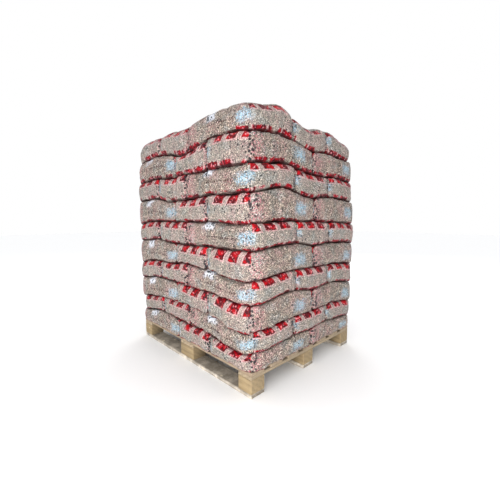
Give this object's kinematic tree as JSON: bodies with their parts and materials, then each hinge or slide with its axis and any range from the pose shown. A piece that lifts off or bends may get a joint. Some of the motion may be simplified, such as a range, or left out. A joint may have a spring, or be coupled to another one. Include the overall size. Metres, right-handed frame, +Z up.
{
  "type": "pallet of sacks",
  "caption": "Loaded wooden block pallet: a stack of see-through plastic sacks of wood pellets, every layer turned half round on the one below.",
  "frame": {"origin": "on the floor under the middle of the pallet", "axes": "+Z up, X along the pallet's 1000 mm side, Y along its 1200 mm side, -Y the front"},
  "size_m": [1.0646, 1.2646, 1.5161],
  "materials": {
    "pallet_wood": "rough sawn softwood",
    "trodden_wood": "rough sawn softwood, grey and dirty",
    "sack_film": "clear polyethylene film with printed marks, over wood pellets"
  },
  "bodies": {
    "root": {"bottom_board_left": "trodden_wood", "bottom_board_centre": "trodden_wood", "bottom_board_right": "trodden_wood", "block_left_front": "pallet_wood", "block_left_middle": "pallet_wood", "block_left_back": "pallet_wood", "block_centre_front": "pallet_wood", "block_centre_middle": "pallet_wood", "block_centre_back": "pallet_wood", "block_right_front": "pallet_wood", "block_right_middle": "pallet_wood", "block_right_back": "pallet_wood", "stringer_front": "pallet_wood", "stringer_middle": "pallet_wood", "stringer_back": "pallet_wood", "deck_board_1": "pallet_wood", "deck_board_2": "pallet_wood", "deck_board_3": "pallet_wood", "deck_board_4": "pallet_wood", "deck_board_5": "pallet_wood", "deck_board_6": "pallet_wood", "deck_board_7": "pallet_wood", "sack_layer_01": "sack_film", "sack_layer_02": "sack_film", "sack_layer_03": "sack_film", "sack_layer_04": "sack_film", "sack_layer_05": "sack_film", "sack_layer_06": "sack_film", "sack_layer_07": "sack_film", "sack_layer_08": "sack_film", "sack_layer_09": "sack_film", "sack_layer_10": "sack_film"}
  },
  "joints": []
}
